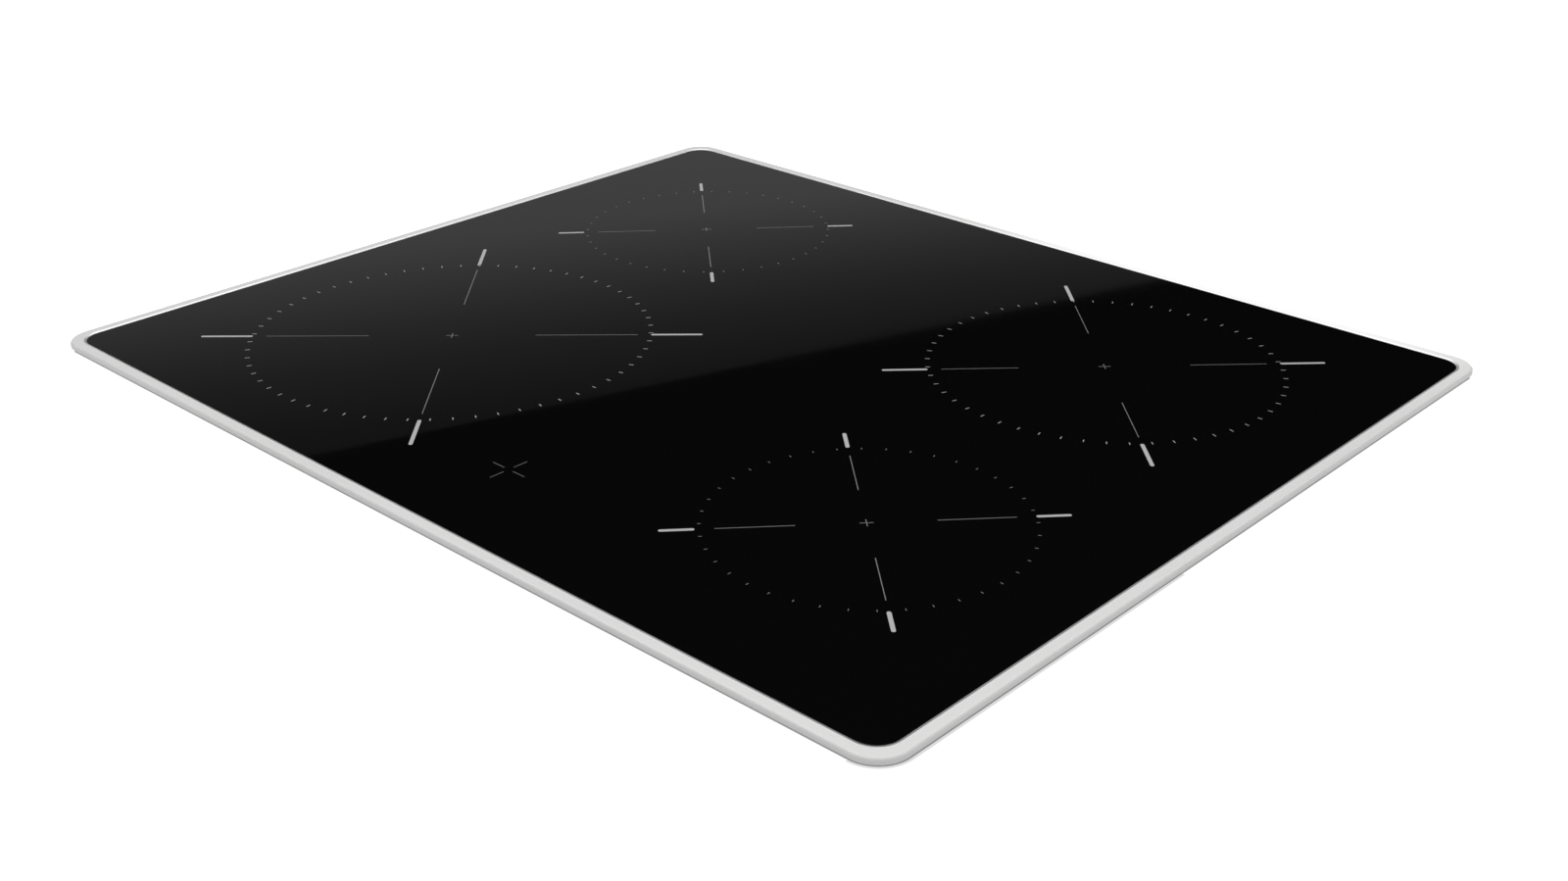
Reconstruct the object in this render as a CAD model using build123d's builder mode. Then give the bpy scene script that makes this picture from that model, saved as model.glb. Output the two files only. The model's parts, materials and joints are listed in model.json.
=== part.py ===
from build123d import *
import os
from math import sqrt

# Built-in electric induction cooktop: a black glass plate in a metal trim frame, over a
# shallow steel casing that holds four induction coils and their electronics.
# Millimetres. +X is the user's right, +Y the back, +Z up, and the user stands at -Y.
# The origin is the centre of the casing's underside. The worktop surface that the
# cooktop is let into is the plane z = worktop_z.

os.makedirs("parts", exist_ok=True)

# ---------------------------------------------------------------- driving dimensions

# Glass plate and trim frame
glass_width = 585
glass_depth = 491
glass_thickness = 4
glass_corner = 11.5
trim_width = 600
trim_depth = 506
trim_corner = 16
trim_height = 3.2  # outer lip, top to bottom edge
trim_proud = 0.4  # the lip stands above the glass
trim_edge_radius = 1.4
trim_bevel = 1.1  # width of the slope from the lip's top down to the glass
trim_web = 2  # part of the lip that reaches down to the seal
trim_sheet = 0.4  # flange under the glass
trim_bearing = 5  # how far the flange reaches under the glass
seal_gap = 0.3  # sealed joint round the glass edge
seal_sunk = 0.1  # the joint stops this far under the glass's top
foam_thickness = 0.5

# Casing
casing_width = 550
casing_depth = 478
sheet = 0.8
casing_corner = 4
casing_flange = 9
bond_thickness = 1
bond_width = 6
worktop_z = 50

# Recesses in the front and back walls, where the worktop clamps fold away
recess_width = 60
recess_depth = 14
recess_x = 185
recess_corner = 2

# Levels
foam_top = worktop_z + foam_thickness
glass_bottom = foam_top + trim_sheet
glass_top = glass_bottom + glass_thickness
trim_top = glass_top + trim_proud
casing_top = glass_bottom - bond_thickness

# Cooking zones: name, side, centre, winding's first radius, turns
zones = [
    ("front_left", "left", (-143.0, -101.0), 28, 17),
    ("back_left", "left", (-163.5, 122.5), 23, 10),
    ("back_right", "right", (151.0, 111.0), 28, 13),
    ("front_right", "right", (172.5, -111.5), 23, 10),
]
wire_pitch = 4.4
wire_width = 3.6
wire_height = 4
former_sheet = 2
former_rim = 1.5
insulation_thickness = 3
insulation_hole = 12
ferrite_width = 12
ferrite_thickness = 5
ferrite_count = 8
sensor_radius = 5
hub_radius = 10
hub_height = 2.6
carrier_sheet = 1.5
winding_gap = 0.5  # under the insulation pad

pad_bottom = glass_bottom - insulation_thickness
winding_bottom = pad_bottom - winding_gap - wire_height
former_bottom = winding_bottom - former_sheet
ferrite_bottom = former_bottom - ferrite_thickness
carrier_top = ferrite_bottom - 0.9
carrier_bottom = carrier_top - carrier_sheet

# Springs that press the coil carriers up
spring_length = 36
spring_width = 12
spring_height = 11
spring_strip = 1
pillar_radius = 6
guide_radius = 3
guide_clearance = 0.4
pillar_top = carrier_bottom - spring_height
left_pillars = [(-252, -190), (-252, 190), (-56, -200), (-80, 200)]
left_guides = [(-252, -120), (-56, 150)]

# Circuit boards
stud_height = 5
stud_radius = 3.5
board_sheet = 1.6
board_bottom = sheet + stud_height
board_top = board_bottom + board_sheet
power_board_x = 160
power_board_y = -65
power_board_width = 160
power_board_depth = 250
filter_board_y = 55
filter_board_width = 110
filter_board_depth = 150

# Heatsinks
sink_width = 50
sink_length = 200
sink_height = 21
sink_base = 4
sink_fin = 1.5
sink_fins = 8
sink_wall = 4

# Fans
fan_x = 165
fan_y = 148
fan_height = 28
fan_sheet = 1.5
fan_chamber = 52
fan_outlet = 50
fan_outlet_reach = 62
fan_inlet = 33
impeller_radius = 46.5
blade_length = 12
blade_count = 24
impeller_sheet = 1.5
motor_radius = 15.5
motor_clearance = 1.5
shaft_radius = 2
running_clearance = 0.05

# Touch control
control_x = 30
control_y = -194
control_width = 128
control_depth = 70
control_wall = 1.5
control_floor = 40
control_board_bottom = 46

# Mains connection
terminal_y = 190
cover_width = 92
cover_depth = 62
cover_sheet = 2.4
cover_ledge = 6
cover_clearance = 0.3
grommet_bore = 5.5
grommet_neck = 8
grommet_flange = 11
grommet_z = 14

# Fasteners
screw_radius = 1.45
screw_hole = 1.5
screw_head_radius = 2.8
screw_head_height = 1.6

# Worktop clamps
arm_length = 50
arm_width = 12
arm_sheet = 2
arm_bottom = 6
clamp_screw_radius = 2
clamp_head_radius = 4
clamp_head_height = 3
clamp_screw_top = 34
nut_plate_bottom = 28
nut_plate_sheet = 2
nut_plate_width = 22
clamp_pivot_x = recess_x + recess_width / 2 - 11
clamp_pivot_y = casing_depth / 2 - recess_depth / 2
clamps = [
    ("front_left", -1, -1),
    ("front_right", 1, -1),
    ("back_left", -1, 1),
    ("back_right", 1, 1),
]

# ---------------------------------------------------------------- shared shapes


def ring(outer_width, outer_depth, outer_corner, inner_width, inner_depth, inner_corner):
    """A rounded rectangle with a rounded rectangular window, in the open sketch."""
    RectangleRounded(outer_width, outer_depth, outer_corner)
    RectangleRounded(inner_width, inner_depth, inner_corner, mode=Mode.SUBTRACT)


def casing_outline(inset, mode=Mode.ADD):
    """The casing's plan, with its four clamp recesses, drawn in by inset."""
    with BuildSketch(mode=Mode.PRIVATE) as outline:
        RectangleRounded(casing_width - 2 * inset, casing_depth - 2 * inset, casing_corner)
        with GridLocations(2 * recess_x, casing_depth, 2, 2):
            RectangleRounded(
                recess_width + 2 * inset,
                2 * (recess_depth + inset),
                recess_corner,
                mode=Mode.SUBTRACT,
            )
    add(outline.sketch, mode=mode)


def spiral_edge(first_radius, turns, outwards):
    """One edge of a flat spiral of semicircles about two centres half a pitch apart."""
    half_pitch = wire_pitch / 2
    for half_turn in range(2 * turns):
        radius = first_radius + half_turn * half_pitch + outwards
        upper = half_turn % 2 == 0
        centre = 0 if upper else half_pitch
        side = 1 if upper else -1
        ThreePointArc(
            (centre + side * radius, 0),
            (centre, side * radius),
            (centre - side * radius, 0),
        )


def winding_radius(first_radius, turns):
    """Outer radius of a winding, about its zone's centre."""
    return first_radius + turns * wire_pitch + wire_width / 2


def post(places, radius, bottom, top, mode=Mode.ADD):
    """Round posts, or holes, at places, from bottom to top, in the open part."""
    with BuildSketch(Plane.XY.offset(bottom)) as profile:
        with Locations(*places):
            Circle(radius)
    extrude(profile.sketch, amount=top - bottom, mode=mode)


def block(places, width, depth, bottom, top, mode=Mode.ADD):
    """Rectangular blocks at places, from bottom to top, in the open part."""
    with BuildSketch(Plane.XY.offset(bottom)) as profile:
        with Locations(*places):
            Rectangle(width, depth)
    extrude(profile.sketch, amount=top - bottom, mode=mode)


def corners(x, y, width, depth, margin):
    """The four screw places of a board."""
    dx = width / 2 - margin
    dy = depth / 2 - margin
    return [(x - dx, y - dy), (x + dx, y - dy), (x - dx, y + dy), (x + dx, y + dy)]


stud_margin = 5
power_studs = corners(
    power_board_x, power_board_y, power_board_width, power_board_depth, stud_margin
) + corners(-power_board_x, power_board_y, power_board_width, power_board_depth, stud_margin)
filter_studs = corners(0, filter_board_y, filter_board_width, filter_board_depth, stud_margin)
board_studs = power_studs + filter_studs
fan_lug_reach = 41  # along X and along Y from the fan's axis
fan_lugs = [
    (side * fan_x + dx, fan_y + fan_lug_reach)
    for side in (-1, 1)
    for dx in (-fan_lug_reach, fan_lug_reach)
]
cover_screw_x = cover_width / 2 - cover_ledge / 2
cover_screws = [(-cover_screw_x, terminal_y), (cover_screw_x, terminal_y)]
strain_y = 229
strain_x = 13
strain_screws = [(-strain_x, strain_y), (strain_x, strain_y)]

# ---------------------------------------------------------------- glass, trim and seals

with BuildPart() as glass_plate:
    with BuildSketch(Plane.XY.offset(glass_bottom)):
        RectangleRounded(glass_width, glass_depth, glass_corner)
    extrude(amount=glass_thickness)
    chamfer(glass_plate.faces().sort_by(Axis.Z)[-1].edges(), 0.3)
glass_plate.part.label = "glass_plate"
export_step(glass_plate.part, "parts/glass_plate.step")

window_width = glass_width + 2 * seal_gap
window_depth = glass_depth + 2 * seal_gap
window_corner = glass_corner + seal_gap
lip_bottom = trim_top - trim_height
web_width = window_width + 2 * trim_web
web_depth = window_depth + 2 * trim_web
web_corner = window_corner + trim_web / 2
bearing_width = glass_width - 2 * trim_bearing
bearing_depth = glass_depth - 2 * trim_bearing
bearing_corner = glass_corner - trim_bearing

with BuildPart() as trim_frame:
    with BuildSketch(Plane.XY.offset(lip_bottom)):
        ring(trim_width, trim_depth, trim_corner, window_width, window_depth, window_corner)
    extrude(amount=trim_height)
    fillet(trim_frame.faces().sort_by(Axis.Z)[-1].outer_wire().edges(), trim_edge_radius)
    fillet(trim_frame.faces().sort_by(Axis.Z)[0].outer_wire().edges(), trim_sheet)
    lip_face = trim_frame.faces().sort_by(Axis.Z)[-1]
    chamfer(lip_face.inner_wires()[0].edges(), trim_bevel, trim_proud, reference=lip_face)
    with BuildSketch(Plane.XY.offset(foam_top)):
        ring(web_width, web_depth, web_corner, window_width, window_depth, window_corner)
    extrude(amount=lip_bottom - foam_top)
    with BuildSketch(Plane.XY.offset(foam_top)):
        ring(web_width, web_depth, web_corner, bearing_width, bearing_depth, bearing_corner)
    extrude(amount=trim_sheet)
trim_frame.part.label = "trim_frame"
export_step(trim_frame.part, "parts/trim_frame.step")

with BuildPart() as edge_seal:
    with BuildSketch(Plane.XY.offset(glass_bottom)):
        ring(window_width, window_depth, window_corner, glass_width, glass_depth, glass_corner)
    extrude(amount=glass_thickness - seal_sunk)
edge_seal.part.label = "edge_seal"
export_step(edge_seal.part, "parts/edge_seal.step")

with BuildPart() as worktop_seal:
    with BuildSketch(Plane.XY.offset(worktop_z)):
        ring(
            web_width - 2,
            web_depth - 2,
            web_corner - 1,
            bearing_width + 2,
            bearing_depth + 2,
            bearing_corner + 1,
        )
    extrude(amount=foam_thickness)
worktop_seal.part.label = "worktop_seal"
export_step(worktop_seal.part, "parts/worktop_seal.step")

with BuildPart() as glass_bond:
    with BuildSketch(Plane.XY.offset(casing_top)):
        casing_outline(1)
        casing_outline(1 + bond_width, mode=Mode.SUBTRACT)
    extrude(amount=bond_thickness)
glass_bond.part.label = "glass_bond"
export_step(glass_bond.part, "parts/glass_bond.step")

# ---------------------------------------------------------------- casing

intake_rows = 7
intake_pitch = 8
intake_slot = 3.5
outlet_slots = 27
outlet_pitch = 10
outlet_slot = 4
outlet_height = 24
outlet_z = 20
ledge_bottom = cover_sheet
ledge_top = cover_sheet + sheet
right_pillars = [(-x, y) for x, y in left_pillars]
right_guides = [(-x, y) for x, y in left_guides]
guide_top = carrier_top + 3
nut_plate_x = recess_x + (recess_width - nut_plate_width) / 2

with BuildPart() as base_tray:
    with BuildSketch():
        casing_outline(0)
    extrude(amount=casing_top)
    with BuildSketch(Plane.XY.offset(sheet)):
        casing_outline(sheet)
    extrude(amount=casing_top - 2 * sheet, mode=Mode.SUBTRACT)
    with BuildSketch(Plane.XY.offset(casing_top - sheet)):
        casing_outline(casing_flange)
    extrude(amount=sheet, mode=Mode.SUBTRACT)
    # Air intake under each fan: parallel slots inside a circle.
    for side in (-1, 1):
        for row in range(intake_rows):
            offset_y = (row - (intake_rows - 1) / 2) * intake_pitch
            slot_length = 2 * sqrt((fan_inlet - 4) ** 2 - offset_y**2)
            with BuildSketch():
                with Locations((side * fan_x, fan_y + offset_y)):
                    SlotOverall(slot_length, intake_slot)
            extrude(amount=sheet, mode=Mode.SUBTRACT)
    # Air outlet: a row of upright slots in the front wall.
    with BuildSketch(Plane.XZ.offset(casing_depth / 2)):
        with Locations((0, outlet_z)):
            with GridLocations(outlet_pitch, 1, outlet_slots, 1):
                SlotOverall(outlet_height, outlet_slot, rotation=90)
    extrude(amount=-sheet, mode=Mode.SUBTRACT)
    # Seat for the terminal cover: an opening with a raised ledge round it.
    block([(0, terminal_y)], cover_width, cover_depth, 0, sheet, mode=Mode.SUBTRACT)
    with BuildSketch(Plane.XY.offset(sheet)):
        with Locations((0, terminal_y)):
            Rectangle(cover_width + 2 * sheet, cover_depth + 2 * sheet)
            Rectangle(cover_width, cover_depth, mode=Mode.SUBTRACT)
    extrude(amount=ledge_top - sheet)
    with BuildSketch(Plane.XY.offset(ledge_bottom)):
        with Locations((0, terminal_y)):
            Rectangle(cover_width + 2 * sheet, cover_depth + 2 * sheet)
            Rectangle(
                cover_width - 2 * cover_ledge, cover_depth - 2 * cover_ledge, mode=Mode.SUBTRACT
            )
    extrude(amount=sheet)
    post(cover_screws, screw_hole, ledge_bottom, ledge_top, mode=Mode.SUBTRACT)
    post(fan_lugs, screw_hole, 0, sheet, mode=Mode.SUBTRACT)
    # Hole for the cable grommet in the back wall.
    with BuildSketch(Plane.XZ.offset(-casing_depth / 2)):
        with Locations((0, grommet_z)):
            Circle(grommet_neck)
    extrude(amount=sheet, mode=Mode.SUBTRACT)
    # Studs for the boards, the fans and the strain relief.
    post(board_studs, stud_radius, sheet, board_bottom)
    post(board_studs, screw_hole, sheet, board_bottom, mode=Mode.SUBTRACT)
    # Pillars for the carrier springs, and pins that guide the carriers.
    post(left_pillars + right_pillars, pillar_radius, sheet, pillar_top)
    post(left_guides + right_guides, guide_radius, sheet, guide_top)
    # Threaded plates across the recesses for the worktop clamps.
    for name, side_x, side_y in clamps:
        block(
            [(side_x * nut_plate_x, side_y * clamp_pivot_y)],
            nut_plate_width,
            recess_depth,
            nut_plate_bottom,
            nut_plate_bottom + nut_plate_sheet,
        )
    post(
        [(sx * clamp_pivot_x, sy * clamp_pivot_y) for name, sx, sy in clamps],
        clamp_screw_radius + running_clearance,
        nut_plate_bottom,
        nut_plate_bottom + nut_plate_sheet,
        mode=Mode.SUBTRACT,
    )
base_tray.part.label = "base_tray"
export_step(base_tray.part, "parts/base_tray.step")

# ---------------------------------------------------------------- mains connection

with BuildPart() as terminal_cover:
    block(
        [(0, terminal_y)],
        cover_width - 2 * cover_clearance,
        cover_depth - 2 * cover_clearance,
        0,
        cover_sheet,
    )
    post(cover_screws, screw_head_radius + 0.2, 0, screw_head_height, mode=Mode.SUBTRACT)
    post(cover_screws, screw_hole, screw_head_height, cover_sheet, mode=Mode.SUBTRACT)
terminal_cover.part.label = "terminal_cover"
export_step(terminal_cover.part, "parts/terminal_cover.step")

terminal_ways = 5
terminal_pitch = 12
terminal_block_width = terminal_ways * terminal_pitch
terminal_block_depth = 24
terminal_block_height = 18
terminal_screw_radius = 2.4
terminal_places = [
    ((way - (terminal_ways - 1) / 2) * terminal_pitch, terminal_y + row * 6)
    for way in range(terminal_ways)
    for row in (-1, 1)
]
terminal_foot_width = 6
terminal_foot_reach = 60
terminal_foot_x = 20

with BuildPart() as terminal_block:
    block(
        [(0, terminal_y)],
        terminal_block_width,
        terminal_block_depth,
        ledge_top + 2,
        ledge_top + terminal_block_height,
    )
    block(
        [(-terminal_foot_x, terminal_y), (terminal_foot_x, terminal_y)],
        terminal_foot_width,
        terminal_foot_reach,
        ledge_top,
        ledge_top + 3,
    )
    post(terminal_places, terminal_screw_radius + 0.1, ledge_top + 2, ledge_top + 8, mode=Mode.SUBTRACT)
terminal_block.part.label = "terminal_block"
export_step(terminal_block.part, "parts/terminal_block.step")

with BuildPart() as terminal_screws:
    post(terminal_places, terminal_screw_radius, ledge_top + 3, ledge_top + 8)
    block(terminal_places, 4, 0.8, ledge_top + 3, ledge_top + 4, mode=Mode.SUBTRACT)
terminal_screws.part.label = "terminal_screws"
export_step(terminal_screws.part, "parts/terminal_screws.step")

grommet_inner_flange = 5
grommet_outer_flange = 2.5

with BuildPart() as cable_grommet:
    with BuildSketch(Plane.XZ.offset(-casing_depth / 2 - grommet_outer_flange)):
        with Locations((0, grommet_z)):
            Circle(grommet_flange)
    extrude(amount=grommet_outer_flange)
    with BuildSketch(Plane.XZ.offset(-casing_depth / 2)):
        with Locations((0, grommet_z)):
            Circle(grommet_neck - 0.05)
    extrude(amount=sheet)
    with BuildSketch(Plane.XZ.offset(-casing_depth / 2 + sheet)):
        with Locations((0, grommet_z)):
            Circle(grommet_flange)
    extrude(amount=grommet_inner_flange)
    with BuildSketch(Plane.XZ.offset(-casing_depth / 2 - grommet_outer_flange)):
        with Locations((0, grommet_z)):
            Circle(grommet_bore)
    extrude(amount=grommet_outer_flange + sheet + grommet_inner_flange, mode=Mode.SUBTRACT)
cable_grommet.part.label = "cable_grommet"
export_step(cable_grommet.part, "parts/cable_grommet.step")

strain_foot = 6
strain_span = 2 * strain_x + strain_foot
strain_top = grommet_z + grommet_bore + 3

with BuildPart() as cable_clamp:
    block([(0, strain_y)], strain_span, strain_foot, strain_top - 3, strain_top)
    block(strain_screws, strain_foot, strain_foot, sheet, strain_top)
    post(strain_screws, screw_hole, sheet, strain_top, mode=Mode.SUBTRACT)
cable_clamp.part.label = "cable_clamp"
export_step(cable_clamp.part, "parts/cable_clamp.step")

# ---------------------------------------------------------------- circuit boards

with BuildPart() as filter_board:
    block([(0, filter_board_y)], filter_board_width, filter_board_depth, board_bottom, board_top)
    post(filter_studs, screw_hole, board_bottom, board_top, mode=Mode.SUBTRACT)
filter_board.part.label = "filter_board"
export_step(filter_board.part, "parts/filter_board.step")

choke_radius = 17
choke_hole = 8
choke_height = 20
choke_y = filter_board_y + 36

with BuildPart() as filter_choke:
    post([(-26, choke_y), (26, choke_y)], choke_radius, board_top, board_top + choke_height)
    post(
        [(-26, choke_y), (26, choke_y)],
        choke_hole,
        board_top + 2,
        board_top + choke_height,
        mode=Mode.SUBTRACT,
    )
filter_choke.part.label = "filter_choke"
export_step(filter_choke.part, "parts/filter_choke.step")

with BuildPart() as filter_capacitors:
    block(
        [(x, filter_board_y - 30 + y) for x in (-30, 0, 30) for y in (-20, 10)],
        14,
        26,
        board_top,
        board_top + 20,
    )
    fillet(filter_capacitors.edges().filter_by(Axis.Z), 1.5)
filter_capacitors.part.label = "filter_capacitors"
export_step(filter_capacitors.part, "parts/filter_capacitors.step")

fin_pitch = (sink_width - sink_wall - sink_fin) / sink_fins

for name, side in (("left", -1), ("right", 1)):
    with BuildPart() as power_board:
        block(
            [(side * power_board_x, power_board_y)],
            power_board_width,
            power_board_depth,
            board_bottom,
            board_top,
        )
        post(
            [(x, y) for x, y in power_studs if x * side > 0],
            screw_hole,
            board_bottom,
            board_top,
            mode=Mode.SUBTRACT,
        )
    power_board.part.label = f"{name}_power_board"
    export_step(power_board.part, f"parts/{name}_power_board.step")

    # Comb section: a base, thin fins and one thick wall on the side of the transistors.
    with BuildPart() as heatsink:
        with BuildSketch(Plane.XZ.offset(-power_board_y - sink_length / 2)):
            with Locations((side * power_board_x, board_top + sink_base / 2)):
                Rectangle(sink_width, sink_base)
            wall_x = side * (power_board_x + (sink_width - sink_wall) / 2)
            with Locations((wall_x, board_top + sink_height / 2)):
                Rectangle(sink_wall, sink_height)
            for fin in range(sink_fins):
                fin_x = side * (power_board_x - (sink_width - sink_fin) / 2 + fin * fin_pitch)
                with Locations((fin_x, board_top + sink_height / 2)):
                    Rectangle(sink_fin, sink_height)
        extrude(amount=sink_length)
    heatsink.part.label = f"{name}_heatsink"
    export_step(heatsink.part, f"parts/{name}_heatsink.step")

transistor_count = 4
transistor_pitch = 44
transistor_width = 16
transistor_sheet = 5
transistor_x = power_board_x + sink_width / 2 + transistor_sheet / 2

with BuildPart() as power_transistors:
    block(
        [
            (side * transistor_x, power_board_y + (n - (transistor_count - 1) / 2) * transistor_pitch)
            for side in (-1, 1)
            for n in range(transistor_count)
        ],
        transistor_sheet,
        transistor_width,
        board_top + 1,
        board_top + sink_height - 1,
    )
power_transistors.part.label = "power_transistors"
export_step(power_transistors.part, "parts/power_transistors.step")

with BuildPart() as dc_link_capacitors:
    block(
        [
            (side * (power_board_x - 50), power_board_y + y)
            for side in (-1, 1)
            for y in (-85, -30, 25, 80)
        ],
        20,
        32,
        board_top,
        board_top + 22,
    )
    fillet(dc_link_capacitors.edges().filter_by(Axis.Z), 2)
dc_link_capacitors.part.label = "dc_link_capacitors"
export_step(dc_link_capacitors.part, "parts/dc_link_capacitors.step")

# ---------------------------------------------------------------- fans

fan_bottom = sheet
fan_top = fan_bottom + fan_height
chamber_bottom = fan_bottom + fan_sheet
chamber_top = fan_top - fan_sheet
back_plate_bottom = chamber_top - 5
cup_bottom = fan_bottom + 6
cup_radius = motor_radius + motor_clearance
blade_bottom = fan_bottom + 4
motor_bottom = cup_bottom + 3
bearing_top = motor_bottom + 14
lug_radius = 6

for name, side in (("left", -1), ("right", 1)):
    axis_place = (side * fan_x, fan_y)
    outlet_x = side * fan_x + (fan_chamber - fan_outlet / 2)
    outlet_place = (outlet_x, fan_y - fan_outlet_reach / 2)

    # Spiral casing of the blower: round chamber, straight outlet towards the heatsink.
    with BuildPart() as fan_housing:
        with BuildSketch(Plane.XY.offset(fan_bottom)):
            with Locations(axis_place):
                Circle(fan_chamber + 2)
            with Locations(outlet_place):
                Rectangle(fan_outlet + 4, fan_outlet_reach)
        extrude(amount=fan_height)
        with BuildSketch(Plane.XY.offset(chamber_bottom)):
            with Locations(axis_place):
                Circle(fan_chamber)
            with Locations(outlet_place):
                Rectangle(fan_outlet, fan_outlet_reach)
        extrude(amount=chamber_top - chamber_bottom, mode=Mode.SUBTRACT)
        post([axis_place], fan_inlet, fan_bottom, chamber_bottom, mode=Mode.SUBTRACT)
        lugs = [place for place in fan_lugs if place[0] * side > 0]
        post(lugs, lug_radius, fan_bottom, fan_bottom + 3)
        post([axis_place], fan_chamber, chamber_bottom, fan_bottom + 3, mode=Mode.SUBTRACT)
        post(lugs, screw_hole, fan_bottom, fan_bottom + 3, mode=Mode.SUBTRACT)
    fan_housing.part.label = f"{name}_fan_housing"
    export_step(fan_housing.part, f"parts/{name}_fan_housing.step")

    with BuildPart() as fan_motor:
        post([axis_place], motor_radius, motor_bottom, chamber_top)
        post(
            [axis_place],
            shaft_radius + running_clearance,
            motor_bottom,
            bearing_top,
            mode=Mode.SUBTRACT,
        )
    fan_motor.part.label = f"{name}_fan_motor"
    export_step(fan_motor.part, f"parts/{name}_fan_motor.step")

    # Impeller: shaft, cup round the motor, back plate, blades and end ring.
    with BuildPart() as impeller:
        post([axis_place], cup_radius + impeller_sheet, cup_bottom, back_plate_bottom)
        post([axis_place], impeller_radius, back_plate_bottom, back_plate_bottom + impeller_sheet)
        with BuildSketch(Plane.XY.offset(blade_bottom)):
            with Locations(axis_place):
                with PolarLocations(impeller_radius - blade_length / 2 - 0.5, blade_count):
                    Rectangle(blade_length, impeller_sheet, rotation=35)
        extrude(amount=back_plate_bottom - blade_bottom)
        with BuildSketch(Plane.XY.offset(blade_bottom)):
            with Locations(axis_place):
                Circle(impeller_radius)
                Circle(impeller_radius - 3, mode=Mode.SUBTRACT)
        extrude(amount=impeller_sheet)
        post(
            [axis_place],
            cup_radius,
            cup_bottom + impeller_sheet,
            back_plate_bottom + impeller_sheet,
            mode=Mode.SUBTRACT,
        )
        post([axis_place], shaft_radius, cup_bottom, bearing_top - 1)
    impeller.part.label = f"{name}_impeller"
    export_step(impeller.part, f"parts/{name}_impeller.step")

# ---------------------------------------------------------------- touch control

with BuildPart() as control_carrier:
    block([(control_x, control_y)], control_width, control_depth, control_floor, glass_bottom)
    block(
        [(control_x, control_y)],
        control_width - 2 * control_wall,
        control_depth - 2 * control_wall,
        control_floor + control_wall,
        glass_bottom,
        mode=Mode.SUBTRACT,
    )
    post(
        corners(control_x, control_y, control_width, control_depth, 6),
        stud_radius,
        control_floor + control_wall,
        control_board_bottom,
    )
control_carrier.part.label = "control_carrier"
export_step(control_carrier.part, "parts/control_carrier.step")

control_board_top = control_board_bottom + board_sheet

with BuildPart() as control_board:
    block(
        [(control_x, control_y)],
        control_width - 2 * control_wall - 1,
        control_depth - 2 * control_wall - 1,
        control_board_bottom,
        control_board_top,
    )
control_board.part.label = "control_board"
export_step(control_board.part, "parts/control_board.step")

touch_pad_radius = 4
touch_pad_pitch = 18
touch_pad_count = 6
touch_row_y = control_y + 14

with BuildPart() as touch_pads:
    post(
        [
            (control_x + (n - (touch_pad_count - 1) / 2) * touch_pad_pitch, touch_row_y)
            for n in range(touch_pad_count)
        ],
        touch_pad_radius,
        control_board_top,
        glass_bottom,
    )
touch_pads.part.label = "touch_pads"
export_step(touch_pads.part, "parts/touch_pads.step")

display_row_y = control_y - 12
display_pitch = 30

with BuildPart() as displays:
    block(
        [(control_x + n * display_pitch, display_row_y) for n in (-1.5, -0.5, 0.5, 1.5)],
        18,
        11,
        control_board_top,
        glass_bottom - 0.4,
    )
displays.part.label = "displays"
export_step(displays.part, "parts/displays.step")

# ---------------------------------------------------------------- coil carriers

carrier_outer_x = 262
carrier_inner_x = 40
carrier_y = 216

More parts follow.
